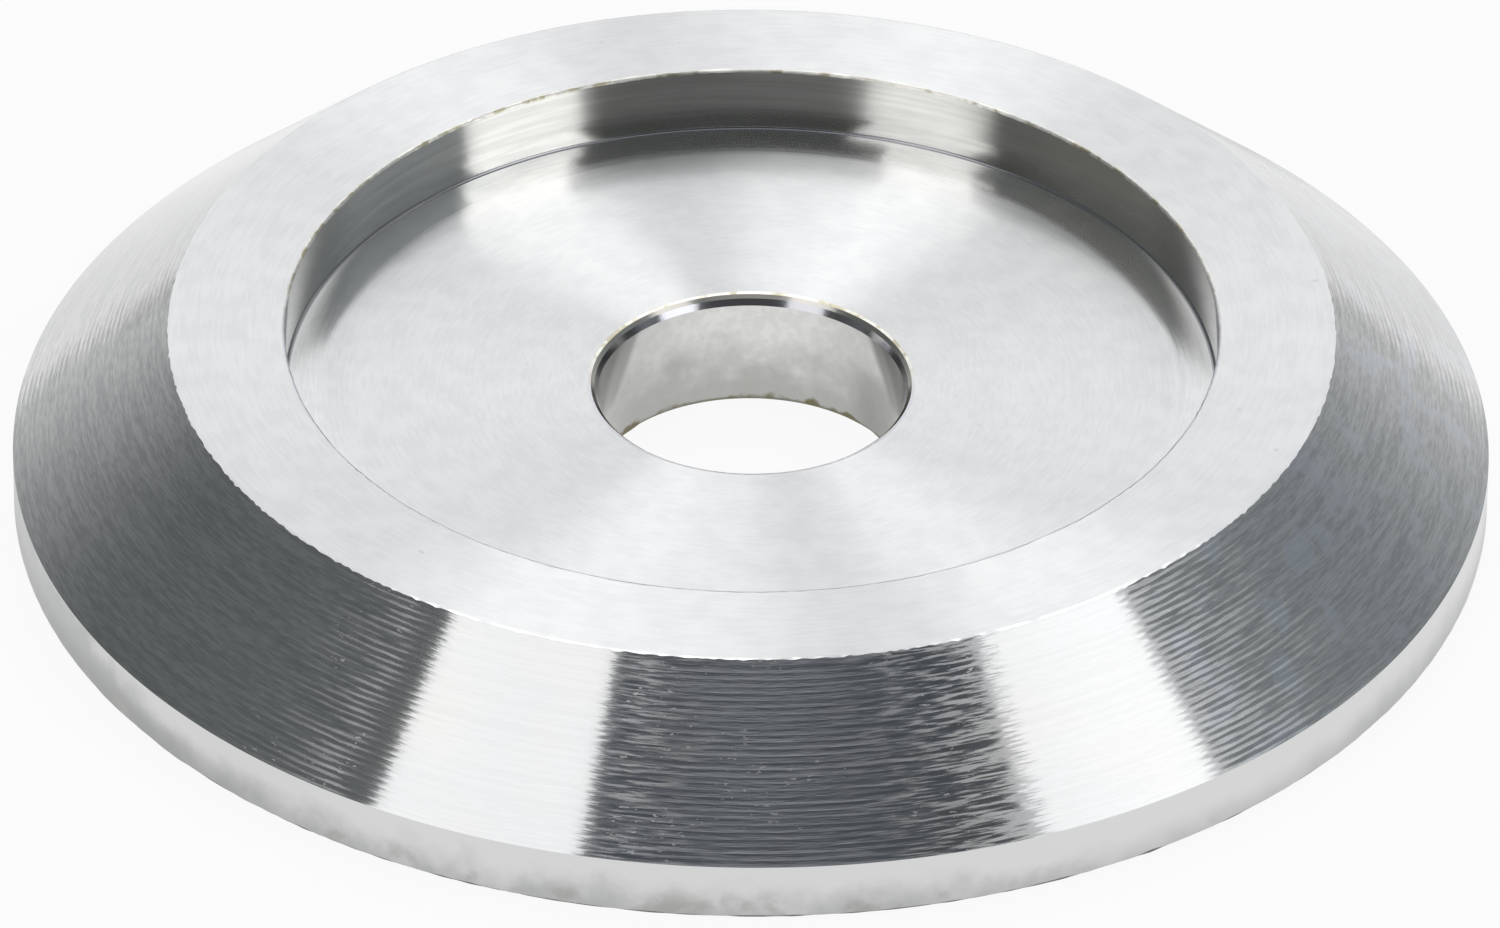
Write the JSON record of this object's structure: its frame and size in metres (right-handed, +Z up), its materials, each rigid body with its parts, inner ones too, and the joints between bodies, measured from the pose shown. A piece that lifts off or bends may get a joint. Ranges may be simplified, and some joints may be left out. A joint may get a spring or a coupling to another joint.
{
  "type": "recessed cup washer",
  "caption": "Turned aluminium cup washer: a low cone with an upright rim, a flat top land and a flat-floored round recess that seats a screw head over a clearance bore.",
  "frame": {"origin": "centre of the flat base, where the washer rests", "axes": "+Z up along the washer's axis, out of the recess; X and Y are free, because the part is a body of revolution"},
  "size_m": [0.0318, 0.0318, 0.0042],
  "materials": {
    "turned_aluminium": "bare, as turned, with fine concentric tool marks"
  },
  "bodies": {
    "root": {"cup_washer": "turned_aluminium"}
  },
  "joints": []
}
